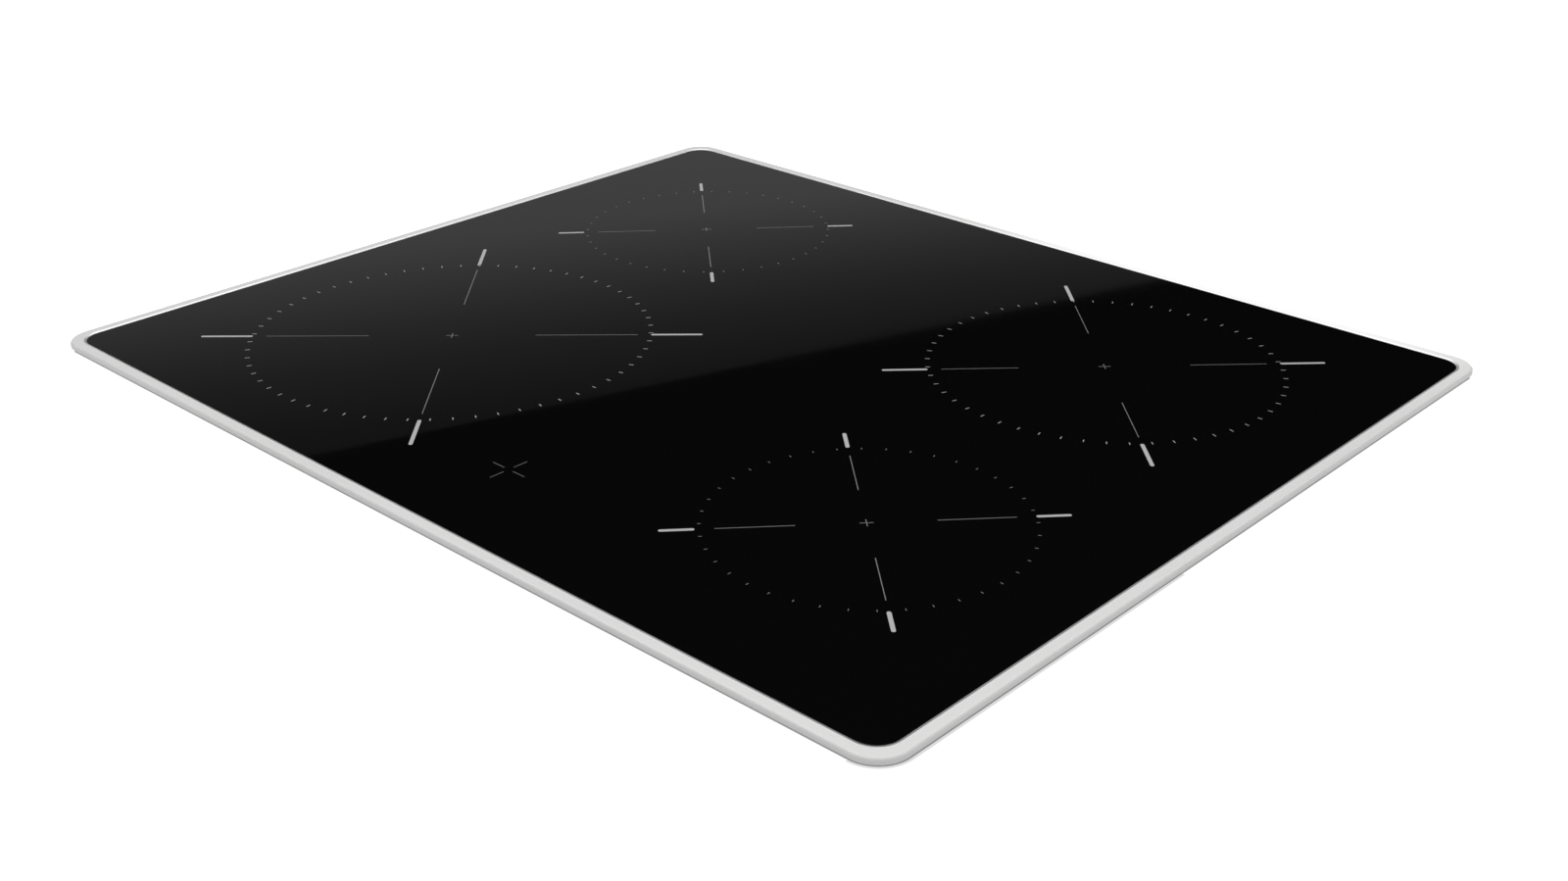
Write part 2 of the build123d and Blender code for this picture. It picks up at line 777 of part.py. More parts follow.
for name, side in (("left", -1), ("right", 1)):
    own_pillars = left_pillars if side < 0 else right_pillars
    own_guides = left_guides if side < 0 else right_guides
    own_zones = [zone for zone in zones if zone[1] == name]

    with BuildPart() as coil_carrier:
        with BuildSketch(Plane.XY.offset(carrier_bottom)):
            with BuildLine():
                Polyline(
                    (side * carrier_outer_x, -carrier_y),
                    (side * carrier_outer_x, carrier_y),
                    (side * carrier_inner_x, carrier_y),
                    (side * carrier_inner_x, -carrier_y),
                    close=True,
                )
            make_face()
            with Locations(*own_guides):
                Circle(guide_radius + guide_clearance, mode=Mode.SUBTRACT)
        extrude(amount=carrier_sheet)
        fillet(coil_carrier.edges().filter_by(Axis.Z).group_by(Axis.X)[0], 6)
        fillet(coil_carrier.edges().filter_by(Axis.Z).group_by(Axis.X)[-1], 6)
    coil_carrier.part.label = f"{name}_coil_carrier"
    export_step(coil_carrier.part, f"parts/{name}_coil_carrier.step")

    with BuildPart() as carrier_springs:
        for x, y in own_pillars:
            with BuildSketch(Plane.YZ.offset(x - spring_width / 2)):
                with Locations((y, pillar_top + spring_height / 2)):
                    SlotOverall(spring_length, spring_height)
                    SlotOverall(
                        spring_length - 2 * spring_strip,
                        spring_height - 2 * spring_strip,
                        mode=Mode.SUBTRACT,
                    )
            extrude(amount=spring_width)
    carrier_springs.part.label = f"{name}_carrier_springs"
    export_step(carrier_springs.part, f"parts/{name}_carrier_springs.step")

    # Ferrite bars: radial, under each former.
    with BuildPart() as ferrites:
        for zone_name, zone_side, centre, first_radius, turns in own_zones:
            outer = winding_radius(first_radius, turns)
            length = outer - first_radius
            with BuildSketch(Plane.XY.offset(ferrite_bottom)):
                with Locations(centre):
                    with PolarLocations(first_radius + length / 2, ferrite_count):
                        Rectangle(length, ferrite_width)
            extrude(amount=ferrite_thickness)
    ferrites.part.label = f"{name}_ferrites"
    export_step(ferrites.part, f"parts/{name}_ferrites.step")

    with BuildPart() as insulation:
        for zone_name, zone_side, centre, first_radius, turns in own_zones:
            pad_radius = winding_radius(first_radius, turns) + former_rim
            post([centre], pad_radius, pad_bottom, glass_bottom)
            post([centre], insulation_hole, pad_bottom, glass_bottom, mode=Mode.SUBTRACT)
    insulation.part.label = f"{name}_insulation"
    export_step(insulation.part, f"parts/{name}_insulation.step")

    with BuildPart() as sensors:
        post(
            [zone[2] for zone in own_zones],
            sensor_radius,
            winding_bottom + hub_height,
            glass_bottom,
        )
    sensors.part.label = f"{name}_sensors"
    export_step(sensors.part, f"parts/{name}_sensors.step")

former_foot_radius = 5
former_feet = 4

for zone_name, zone_side, centre, first_radius, turns in zones:
    outer = winding_radius(first_radius, turns)
    former_radius = outer + 0.5 + former_rim

    # Former: disc with a rim, a hub for the sensor and four feet on the carrier.
    with BuildPart() as former:
        post([centre], former_radius, former_bottom, winding_bottom)
        with BuildSketch(Plane.XY.offset(winding_bottom)):
            with Locations(centre):
                Circle(former_radius)
                Circle(former_radius - former_rim, mode=Mode.SUBTRACT)
        extrude(amount=wire_height)
        post([centre], hub_radius, winding_bottom, winding_bottom + hub_height)
        with BuildSketch(Plane.XY.offset(carrier_top)):
            with Locations(centre):
                with PolarLocations(0.8 * outer, former_feet, start_angle=22.5):
                    Circle(former_foot_radius)
        extrude(amount=former_bottom - carrier_top)
    former.part.label = f"{zone_name}_former"
    export_step(former.part, f"parts/{zone_name}_former.step")

    # Winding: one flat layer, the spiral shifted so that it is centred on the zone.
    band_plane = Plane((centre[0] - wire_pitch / 4, centre[1], winding_bottom))
    last_radius = first_radius + (2 * turns - 1) * wire_pitch / 2
    end_x = wire_pitch / 2 + last_radius
    with BuildPart() as winding:
        with BuildSketch(band_plane):
            with BuildLine():
                spiral_edge(first_radius, turns, wire_width / 2)
                spiral_edge(first_radius, turns, -wire_width / 2)
                Line(
                    (first_radius - wire_width / 2, 0),
                    (first_radius + wire_width / 2, 0),
                )
                Line((end_x - wire_width / 2, 0), (end_x + wire_width / 2, 0))
            make_face()
        extrude(amount=wire_height)
    winding.part.label = f"{zone_name}_winding"
    export_step(winding.part, f"parts/{zone_name}_winding.step")

# ---------------------------------------------------------------- fasteners

# Places of the M3 screws: where, seat of the head, direction of the head, shank length
case_screw_places = (
    [(place, board_top, 1, 5) for place in board_studs]
    + [(place, screw_head_height, -1, 4) for place in cover_screws]
    + [(place, strain_top, 1, 18) for place in strain_screws]
    + [(place, fan_bottom + 3, 1, 3.4) for place in fan_lugs]
)

with BuildPart() as case_screws:
    for place, seat, head_side, shank in case_screw_places:
        with BuildSketch(Plane.XY.offset(seat)):
            with Locations(place):
                Circle(screw_head_radius)
        extrude(amount=head_side * (screw_head_height - 0.2))
        with BuildSketch(Plane.XY.offset(seat)):
            with Locations(place):
                Circle(screw_radius)
        extrude(amount=-head_side * shank)
case_screws.part.label = "case_screws"
export_step(case_screws.part, "parts/case_screws.step")

# Worktop clamps: each arm hangs on the head of its screw, folded along the casing.
for name, side_x, side_y in clamps:
    pivot_x = side_x * clamp_pivot_x
    pivot_y = side_y * clamp_pivot_y
    arm_centre_x = pivot_x - side_x * (arm_length - arm_width) / 2

    with BuildPart() as clamp_arm:
        with BuildSketch(Plane.XY.offset(arm_bottom)):
            with Locations((arm_centre_x, pivot_y)):
                SlotOverall(arm_length, arm_width)
            with Locations((pivot_x, pivot_y)):
                Circle(clamp_screw_radius + running_clearance, mode=Mode.SUBTRACT)
        extrude(amount=arm_sheet)
    clamp_arm.part.label = f"{name}_clamp_arm"
    export_step(clamp_arm.part, f"parts/{name}_clamp_arm.step")

    with BuildPart() as clamp_screw:
        with BuildSketch(Plane.XY.offset(arm_bottom - clamp_head_height)):
            with Locations((pivot_x, pivot_y)):
                RegularPolygon(clamp_head_radius, 6)
        extrude(amount=clamp_head_height)
        post([(pivot_x, pivot_y)], clamp_screw_radius, arm_bottom, clamp_screw_top)
    clamp_screw.part.label = f"{name}_clamp_screw"
    export_step(clamp_screw.part, f"parts/{name}_clamp_screw.step")
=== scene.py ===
import json
from math import cos, pi, radians, sin

import bmesh
import bpy
from mathutils import Matrix, Vector


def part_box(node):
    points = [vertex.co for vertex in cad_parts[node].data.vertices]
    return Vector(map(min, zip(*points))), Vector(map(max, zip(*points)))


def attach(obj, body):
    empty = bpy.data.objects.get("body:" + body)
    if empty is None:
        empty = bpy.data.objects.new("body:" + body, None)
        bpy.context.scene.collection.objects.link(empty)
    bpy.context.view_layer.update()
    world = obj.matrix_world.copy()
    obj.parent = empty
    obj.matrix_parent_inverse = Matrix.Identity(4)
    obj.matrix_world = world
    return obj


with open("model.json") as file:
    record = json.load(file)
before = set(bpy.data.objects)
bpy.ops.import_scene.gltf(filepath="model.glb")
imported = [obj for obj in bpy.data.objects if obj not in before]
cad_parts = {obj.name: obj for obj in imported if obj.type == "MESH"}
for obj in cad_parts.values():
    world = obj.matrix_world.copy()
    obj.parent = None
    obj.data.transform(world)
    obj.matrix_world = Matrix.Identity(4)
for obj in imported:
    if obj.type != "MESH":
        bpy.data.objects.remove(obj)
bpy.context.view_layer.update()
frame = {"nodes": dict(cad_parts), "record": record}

# The looks of a built-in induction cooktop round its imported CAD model. Metres, +X the
# user's right, +Y the back, +Z up, and the user stands at -Y.

MM = 0.001

trim_low, trim_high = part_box("trim_frame")
seal_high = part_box("edge_seal")[1]
GLASS_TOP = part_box("glass_plate")[1][2]
LIP_BOTTOM = trim_high[2] - 3.2 * MM  # the lower edge of the trim's visible outer face

scene = bpy.context.scene


# ---------------------------------------------------------------- camera

# Place of the camera from the middle of the glass's top face, and the way it looks.
CAMERA_PLACE = Vector((0.65925, -0.69457, 0.40819))
CAMERA_HEADING = radians(42.73)  # turned left from +Y
CAMERA_DIP = radians(25.79)  # below the horizon
CAMERA_LENS = 43.35  # millimetres, on a sensor of CAMERA_SENSOR
CAMERA_SENSOR = 36
CAMERA_NEAREST = 0.01
GLASS_CENTRE = Vector((0, 0, GLASS_TOP))


def add_camera():
    data = bpy.data.cameras.new("camera")
    data.lens = CAMERA_LENS
    data.sensor_width = CAMERA_SENSOR
    data.clip_start = CAMERA_NEAREST
    camera = bpy.data.objects.new("camera", data)
    scene.collection.objects.link(camera)
    camera.location = GLASS_CENTRE + CAMERA_PLACE
    camera.rotation_euler = (pi / 2 - CAMERA_DIP, 0, CAMERA_HEADING)
    scene.camera = camera


# ---------------------------------------------------------------- node helpers


class Nodes:
    """A material and short ways to add and join its nodes."""

    def __init__(self, name):
        self.material = bpy.data.materials.new(name)
        self.material.use_nodes = True
        self.tree = self.material.node_tree
        self.shader = self.tree.nodes["Principled BSDF"]
        self.coordinates = self.tree.nodes.new("ShaderNodeTexCoord").outputs["Object"]

    def add(self, kind, inputs=(), **settings):
        node = self.tree.nodes.new(kind)
        for key, value in settings.items():
            setattr(node, key, value)
        for key, value in dict(inputs).items():
            if isinstance(value, bpy.types.NodeSocket):
                self.tree.links.new(value, node.inputs[key])
            else:
                node.inputs[key].default_value = value
        return node

    def set(self, **values):
        """Plain values or links for the shader's sockets, by name with _ for a space."""
        for key, value in values.items():
            socket = self.shader.inputs[key.replace("_", " ")]
            if isinstance(value, bpy.types.NodeSocket):
                self.tree.links.new(value, socket)
            elif socket.type == "RGBA":
                socket.default_value = (*value, 1)
            else:
                socket.default_value = value

    def stretched(self, scale):
        """Object coordinates with their own scale along each axis."""
        mapping = self.add("ShaderNodeMapping", {"Vector": self.coordinates, "Scale": scale})
        return mapping.outputs["Vector"]

    def noise(self, size, detail=3, vector=None):
        """Noise with features of about size metres, or of size in vector's own units."""
        inputs = {"Vector": vector or self.coordinates, "Scale": 1 / size, "Detail": detail}
        return self.add("ShaderNodeTexNoise", inputs).outputs["Fac"]

    def ramp(self, value, low, high, start=0.0, end=1.0):
        """value from start to end, mapped to a number or colour from low to high."""
        if isinstance(low, (int, float)):
            limits = {"From Min": start, "From Max": end, "To Min": low, "To Max": high}
            node = self.add("ShaderNodeMapRange", {"Value": value, **limits})
            return node.outputs["Result"]
        node = self.add("ShaderNodeValToRGB", {"Fac": value})
        node.color_ramp.elements[0].position = start
        node.color_ramp.elements[0].color = (*low, 1)
        node.color_ramp.elements[1].position = end
        node.color_ramp.elements[1].color = (*high, 1)
        return node.outputs["Color"]

    def vector(self, operation, value, other=None, result="Vector"):
        """A vector operation on value, with other as its second input."""
        inputs = {0: value} if other is None else {0: value, 1: other}
        return self.add("ShaderNodeVectorMath", inputs, operation=operation).outputs[result]

    def mix(self, factor, first, second):
        """first where factor is 0, second where it is 1, as numbers or colours."""
        if isinstance(first, (int, float)):
            inputs = {"Factor": factor, 2: first, 3: second}
            return self.add("ShaderNodeMix", inputs).outputs[0]
        inputs = {"Factor": factor, 6: (*first, 1), 7: second}
        return self.add("ShaderNodeMix", inputs, data_type="RGBA").outputs[2]

    def bump(self, height, strength, distance):
        inputs = {"Height": height, "Strength": strength, "Distance": distance}
        return self.add("ShaderNodeBump", inputs).outputs["Normal"]


# ---------------------------------------------------------------- materials


def grey(value):
    return (value, value, value)


def black_glass():
    """Black glass-ceramic, polished, with a faint unevenness in its gloss."""
    m = Nodes("black_glass")
    smears = m.noise(0.09, detail=4)
    m.set(
        Base_Color=(0.0026, 0.0026, 0.0028),
        Roughness=m.ramp(smears, 0.02, 0.045, 0.3, 0.7),
        IOR=1.5,
    )
    return m.material


BEVEL_WIDTH = 1.1 * MM
BEVEL_BLEND = 0.05 * MM  # half the width over which the bright slope turns into the satin
OPENING_CORNER = 11.8 * MM


def trim_metal():
    """Satin metal with a fine grain, cut bright on the slope round the glass."""
    m = Nodes("trim_metal")
    grain = m.noise(0.0005, detail=2)
    cloud = m.noise(0.15, detail=2)
    half = Vector(seal_high) - Vector((OPENING_CORNER, OPENING_CORNER, 0))
    past = m.vector("SUBTRACT", m.vector("ABSOLUTE", m.coordinates), tuple(half))
    past = m.vector("MULTIPLY", m.vector("MAXIMUM", past, (0, 0, 0)), (1, 1, 0))
    reach = m.vector("LENGTH", past, result="Value")
    edge = OPENING_CORNER + BEVEL_WIDTH
    satin = m.ramp(reach, 0.0, 1.0, edge - BEVEL_BLEND, edge + BEVEL_BLEND)
    colour = m.ramp(cloud, (0.765, 0.765, 0.76), (0.785, 0.785, 0.78), 0.35, 0.65)
    rough = m.ramp(grain, 0.28, 0.36, 0.3, 0.7)
    m.set(
        Base_Color=m.mix(satin, grey(0.98), colour),
        Metallic=m.ramp(satin, 0.85, 0.0),
        Roughness=m.mix(satin, 0.36, rough),
        Normal=m.bump(grain, 0.03, 0.00001),
    )
    return m.material


def seal_rubber():
    """The grey joint between glass and trim."""
    m = Nodes("seal_rubber")
    grain = m.noise(0.0008, detail=2)
    m.set(
        Base_Color=m.ramp(grain, grey(0.2), grey(0.26), 0.3, 0.7),
        Roughness=0.6,
        Normal=m.bump(grain, 0.1, 0.00003),
    )
    return m.material


def print_enamel(name, low, high):
    """Ceramic print fired onto the glass: pale grey, with a very fine screen texture."""
    m = Nodes(name)
    grain = m.noise(0.0004, detail=1)
    m.set(Base_Color=m.ramp(grain, low, high, 0.3, 0.7), Roughness=0.6, Specular_IOR_Level=0.2)
    return m.material


def casing_steel():
    """Galvanised sheet: small faint spangle over rolling streaks."""
    m = Nodes("casing_steel")
    cells = m.add("ShaderNodeTexVoronoi", {"Vector": m.coordinates, "Scale": 420})
    spangle = m.add("ShaderNodeSeparateColor", {"Color": cells.outputs["Color"]})
    streaks = m.noise(1, detail=4, vector=m.stretched((18, 18, 1400)))
    mixed = m.add("ShaderNodeMath", {0: spangle.outputs[0], 1: streaks}, operation="ADD")
    shade = mixed.outputs[0]
    m.set(
        Base_Color=m.ramp(shade, (0.46, 0.47, 0.48), (0.56, 0.57, 0.58), 0.4, 1.5),
        Metallic=0.8,
        Roughness=m.ramp(shade, 0.34, 0.42, 0.4, 1.5),
        Normal=m.bump(streaks, 0.03, 0.0001),
    )
    return m.material


def plain(name, low, high, grain_size, roughness, metallic=0.0, bump=0.0):
    """Colour between low and high in a grain, with an optional relief."""
    m = Nodes(name)
    grain = m.noise(grain_size, detail=3)
    m.set(
        Base_Color=m.ramp(grain, low, high, 0.3, 0.7),
        Metallic=metallic,
        Roughness=m.ramp(grain, roughness * 0.9, roughness * 1.1, 0.3, 0.7),
    )
    if bump:
        m.set(Normal=m.bump(grain, bump, grain_size * 0.2))
    return m.material


def circuit_board():
    """Green lacquer over copper tracks."""
    m = Nodes("circuit_board")
    tracks = m.add(
        "ShaderNodeTexBrick",
        {
            "Vector": m.coordinates,
            "Color1": (0.02, 0.11, 0.05, 1),
            "Color2": (0.03, 0.15, 0.06, 1),
            "Mortar": (0.01, 0.06, 0.03, 1),
            "Scale": 60,
            "Mortar Size": 0.03,
        },
    )
    m.set(Base_Color=tracks.outputs["Color"], Roughness=0.35)
    return m.material


def litz_copper():
    """Lacquered litz wire: fine strands along the band."""
    m = Nodes("litz_copper")
    strands = m.noise(1, detail=2, vector=m.stretched((900, 900, 2600)))
    m.set(
        Base_Color=m.ramp(strands, (0.32, 0.12, 0.05), (0.72, 0.34, 0.16), 0.35, 0.65),
        Metallic=0.8,
        Roughness=0.4,
        Normal=m.bump(strands, 0.5, 0.0004),
    )
    return m.material


def make_materials():
    """The materials of the CAD nodes, by material slot."""
    return {
        "black_glass": black_glass(),
        "trim_steel": trim_metal(),
        "grey_seal": seal_rubber(),
        "foam": plain("foam", grey(0.03), grey(0.07), 0.0012, 0.9, bump=0.4),
        "silicone": plain("silicone", grey(0.05), grey(0.07), 0.003, 0.5),
        "casing_steel": casing_steel(),
        "screw_steel": plain("screw_steel", grey(0.5), grey(0.62), 0.001, 0.35, 0.9),
        "spring_steel": plain("spring_steel", grey(0.38), grey(0.5), 0.002, 0.38, 0.9),
        "aluminium_part": plain("aluminium_part", grey(0.68), grey(0.76), 0.004, 0.4, 0.85),
        "copper": litz_copper(),
        "brass_screws": plain("brass", (0.6, 0.45, 0.2), (0.7, 0.55, 0.27), 0.001, 0.35, 0.9),
        "ferrite": plain("ferrite", grey(0.04), grey(0.08), 0.0008, 0.6, 0.1, 0.3),
        "white_ceramic": plain("white_ceramic", grey(0.7), grey(0.78), 0.002, 0.5),
        "insulation_felt": plain(
            "felt", (0.52, 0.5, 0.45), (0.68, 0.66, 0.6), 0.0008, 0.95, bump=0.8
        ),
        "former_plastic": plain("former_plastic", grey(0.05), grey(0.08), 0.001, 0.6),
        "black_plastic": plain("black_plastic", grey(0.018), grey(0.03), 0.0006, 0.55, bump=0.2),
        "white_plastic": plain("white_plastic", grey(0.68), grey(0.75), 0.0008, 0.5),
        "circuit_board": circuit_board(),
        "capacitor_case": plain("capacitor_case", (0.4, 0.3, 0.06), (0.5, 0.4, 0.1), 0.01, 0.4),
        "display_window": plain("display", (0.08, 0.01, 0.01), (0.1, 0.015, 0.015), 0.01, 0.2),
        "black_rubber": plain("black_rubber", grey(0.015), grey(0.03), 0.0008, 0.8, bump=0.3),
    }


def dress_nodes(materials):
    """Gives each CAD node the material of its slot in the record."""
    slots = {row["node"]: row["material_slot"] for row in frame["record"]["subparts"]}
    for name, node in frame["nodes"].items():
        node.data.materials.clear()
        node.data.materials.append(materials[slots[name]])


# ---------------------------------------------------------------- print on the glass

PRINT_HEIGHT = 0.04 * MM


class Print:
    """Flat marks of one colour, gathered into one thin mesh on the glass."""

    def __init__(self, name):
        self.name = name
        self.mesh = bmesh.new()

    def plate(self, outline):
        """A closed plate on the glass with the given outline, in metres."""
        low = [self.mesh.verts.new((x, y, GLASS_TOP)) for x, y in outline]
        high = [self.mesh.verts.new((x, y, GLASS_TOP + PRINT_HEIGHT)) for x, y in outline]
        self.mesh.faces.new(high)
        self.mesh.faces.new(list(reversed(low)))
        for i in range(len(outline)):
            j = (i + 1) % len(outline)
            self.mesh.faces.new((low[i], low[j], high[j], high[i]))

    def bar(self, centre, angle, start, end, width, steps=6):
        """A radial bar with round ends, from radius start to radius end."""
        half = width / 2
        along = Vector((cos(angle), sin(angle)))
        across = Vector((-sin(angle), cos(angle)))
        outline = []
        for radius, first in ((end - half, -pi / 2), (start + half, pi / 2)):
            middle = Vector(centre) + along * radius
            for step in range(steps + 1):
                turn = first + pi * step / steps
                outline.append(middle + along * (cos(turn) * half) + across * (sin(turn) * half))
        self.plate([tuple(point) for point in outline])

    def stroke(self, centre, angle, start, end, width):
        """A radial line with square ends."""
        along = Vector((cos(angle), sin(angle)))
        across = Vector((-sin(angle), cos(angle))) * (width / 2)
        near = Vector(centre) + along * start
        far = Vector(centre) + along * end
        self.plate([tuple(p) for p in (near - across, far - across, far + across, near + across)])

    def done(self, material):
        """The finished piece, which rides on the root body."""
        data = bpy.data.meshes.new(self.name)
        self.mesh.to_mesh(data)
        self.mesh.free()
        data.materials.append(material)
        piece = bpy.data.objects.new(self.name, data)
        scene.collection.objects.link(piece)
        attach(piece, "hob")


# Each zone's print in millimetres and degrees: the tick ring's centre, radius, number of
# ticks, first tick's angle, and a tick's length and width, then the bars' and lines' centre
# and angle, the thin lines' inner and outer radius and width, and the bars' inner and outer
# radius.
ZONES = {
    "front_left": (
        ((-142.94, -100.84), 111.57, 61, 3.25, 2.6, 0.62),
        ((-142.8, -100.9), 43.32, (46.85, 104.15, 0.38), (111.6, 140.6)),
    ),
    "back_right": (
        ((150.93, 111.13), 95.61, 53, 5.77, 2.6, 0.5),
        ((150.92, 111.1), 45.05, (46.9, 88.5, 0.32), (96.0, 120.75)),
    ),
    "back_left": (
        ((-162.95, 122.94), 77.56, 40, 6.9, 1.6, 0.56),
        ((-163.85, 122.44), 47.14, (32.75, 69.5, 0.45), (78.6, 95.1)),
    ),
    "front_right": (
        ((173.14, -111.46), 77.4, 40, 7.05, 1.6, 0.32),
        ((172.22, -111.89), 47.26, (32.7, 69.35, 0.36), (78.4, 94.95)),
    ),
}
BAR_WIDTH = 2.08
CROSS_SPAN = 6.5
SMALL_ZONE = 90  # a ring radius under this is a small zone's


def add_zone_print(name, bright, middle, dim):
    """One zone's ticks, bars, thin lines and small cross."""
    ring_row, bar_row = ZONES[name]
    ring_centre, ring, ticks, first_tick, tick_length, tick_width = ring_row
    bar_centre, bar_angle, (line_start, line_end, line_width), bar = bar_row
    ring_centre = [value * MM for value in ring_centre]
    bar_centre = [value * MM for value in bar_centre]
    marks = Print(f"{name}_ring")
    for tick in range(ticks):
        angle = radians(first_tick + 360 * tick / ticks)
        start, end = ring - tick_length / 2, ring + tick_length / 2
        marks.stroke(ring_centre, angle, start * MM, end * MM, tick_width * MM)
    marks.done(dim if ring < SMALL_ZONE else middle)
    bars = Print(f"{name}_bars")
    lines = Print(f"{name}_lines")
    for quarter in range(4):
        angle = radians(bar_angle + 90 * quarter)
        bars.bar(bar_centre, angle, bar[0] * MM, bar[1] * MM, BAR_WIDTH * MM)
        lines.stroke(bar_centre, angle, line_start * MM, line_end * MM, line_width * MM)
        cross = (line_width / 2 * MM, CROSS_SPAN / 2 * MM)
        lines.stroke(bar_centre, angle, *cross, line_width * MM)
    bars.done(bright)
    lines.done(dim)


KEY_PLACE = (10.4 * MM, -187.6 * MM)
KEY_GAP = 3.2 * MM
KEY_REACH = 11.6 * MM
KEY_WIDTH = 0.55 * MM


def add_key_print(material):
    """The open cross that marks where to press to wake the controls."""
    key = Print("key_mark")
    for quarter in range(4):
        key.stroke(KEY_PLACE, quarter * pi / 2, KEY_GAP, KEY_REACH, KEY_WIDTH)
    key.done(material)


# ---------------------------------------------------------------- stage and light


def stage_mesh(name, data, material, **seen_by):
    """A stage piece of the given mesh; seen_by switches kinds of ray off."""
    data.materials.append(material)
    piece = bpy.data.objects.new(name, data)
    scene.collection.objects.link(piece)
    for kind, value in seen_by.items():
        setattr(piece, f"visible_{kind}", value)
    return piece


def stage_plane(name, corners, material, **seen_by):
    """A flat stage piece with the given corners."""
    data = bpy.data.meshes.new(name)
    data.from_pydata([tuple(c) for c in corners], [], [tuple(range(len(corners)))])
    return stage_mesh(name, data, material, **seen_by)


def set_stops(ramp, steps):
    """Grey stops of a colour ramp, as positions and values."""
    stops = ramp.color_ramp.elements
    while len(stops) < len(steps):
        stops.new(1)
    for stop, (position, value) in zip(stops, steps):
        stop.position = position
        stop.color = (*grey(value), 1)


def glow(name, colour, strength):
    """A material that only shines."""
    m = bpy.data.materials.new(name)
    m.use_nodes = True
    m.node_tree.nodes.clear()
    shine = m.node_tree.nodes.new("ShaderNodeEmission")
    shine.inputs["Color"].default_value = (*colour, 1)
    shine.inputs["Strength"].default_value = strength
    out = m.node_tree.nodes.new("ShaderNodeOutputMaterial")
    m.node_tree.links.new(shine.outputs[0], out.inputs["Surface"])
    return m, shine


FLOOR_HALF = 12
FLOOR_WHITE = 0.9
FLOOR_GLOW = 0.62  # near the object, where its shadow falls
FLOOR_GLOW_NEAR = 0.3  # the glow rises to full between these distances
FLOOR_GLOW_FAR = 2.2


def add_floor():
    """A white floor that only the camera sees, and only from above."""
    m = Nodes("floor")
    distance = m.vector("LENGTH", m.coordinates, result="Value")
    underside = m.add("ShaderNodeNewGeometry").outputs["Backfacing"]
    m.set(
        Base_Color=grey(FLOOR_WHITE),
        Roughness=1,
        Specular_IOR_Level=0,
        Emission_Color=(1, 1, 1),
        Emission_Strength=m.ramp(distance, FLOOR_GLOW, 1.0, FLOOR_GLOW_NEAR, FLOOR_GLOW_FAR),
        Alpha=m.ramp(underside, 1.0, 0.0),
    )
    half = FLOOR_HALF
    corners = [(-half, -half, 0), (half, -half, 0), (half, half, 0), (-half, half, 0)]
    stage_plane("floor", corners, m.material, diffuse=False, glossy=False)


WORKTOP_MARGIN = 0.058  # past the trim, on the two sides nearest to the camera
WORKTOP_RISE = 0.0028  # how much higher its outer edge is, so that it is edge on in a low view
WORKTOP_UNDER = 6 * MM  # how far it reaches in under the trim
WORKTOP_DROP = 0.1 * MM  # under the trim's lower edge
CAMERA_ONLY = {"shadow": False, "diffuse": False, "glossy": False, "transmission": False}


def add_worktop_edge():
    """A white card at the two near sides, in place of the worktop that hides the casing."""
    white, _ = glow("worktop", (1, 1, 1), 1.0)
    margin, under = WORKTOP_MARGIN, WORKTOP_UNDER
    z = LIP_BOTTOM - WORKTOP_DROP
    left, front = trim_low[0], trim_low[1]
    right, back = trim_high[0], trim_high[1]
    inner = [(left, front + under, z), (right - under, front + under, z), (right - under, back, z)]
    edge = [(left, front, z), (right, front, z), (right, back, z)]
    high = z + WORKTOP_RISE
    outer = [
        (left, front - margin, high),
        (right + margin, front - margin, high),
        (right + margin, back, high),
    ]
    for side in range(2):
        for name, near, far in (("under", inner, edge), ("past", edge, outer)):
            corners = [near[side], far[side], far[side + 1], near[side + 1]]
            stage_plane(f"worktop_{name}_{side}", corners, white, **CAMERA_ONLY)


TRIM_CORNER = 16 * MM
SHADOW_INSET = 0.8 * MM  # the line starts this far in under the trim
SHADOW_LINE = 0.6 * MM  # and ends this far out
SHADOW_LINE_SHADE = 0.27
SHADOW_SOFT = 1.9 * MM  # the soft band goes from there to this far out
SHADOW_SOFT_SHADE = 0.72
SHADOW_SOFT_END = -0.05  # where the soft band ends along Y
ARC_STEPS = 12


def trim_outline(offset, start, end):
    """The trim's plan, offset outwards: the front from start, the near corner, the right to end.

    Without a start it begins at the near corner.
    """
    right, front = trim_high[0] - TRIM_CORNER, trim_low[1] + TRIM_CORNER
    radius = TRIM_CORNER + offset
    points = [] if start is None else [(start, trim_low[1] - offset)]
    for step in range(ARC_STEPS + 1):
        turn = -pi / 2 + pi / 2 * step / ARC_STEPS
        points.append((right + radius * cos(turn), front + radius * sin(turn)))
    points.append((trim_high[0] + offset, end))
    return points


def add_shadow_line():
    """The thin shadow where the trim meets the worktop, darkest under the lip."""
    z = LIP_BOTTOM - WORKTOP_DROP / 2
    slope = WORKTOP_RISE / WORKTOP_MARGIN
    whole = (trim_low[0] + TRIM_CORNER, trim_high[1] - TRIM_CORNER)
    bands = (
        ("shadow_line", -SHADOW_INSET, SHADOW_LINE, SHADOW_LINE_SHADE, whole),
        ("shadow_soft", SHADOW_LINE, SHADOW_SOFT, SHADOW_SOFT_SHADE, (None, SHADOW_SOFT_END)),
    )
    for name, near, far, shade, ends in bands:
        material, _ = glow(name, grey(shade), 1.0)
        points = []
        for offset in (near, far):
            height = z + max(offset, 0) * slope
            points += [(x, y, height) for x, y in trim_outline(offset, *ends)]
        count = len(points) // 2
        data = bpy.data.meshes.new(name)
        faces = [(i, count + i, count + i + 1, i + 1) for i in range(count - 1)]
        data.from_pydata(points, [], faces)
        stage_mesh(name, data, material, **CAMERA_ONLY)


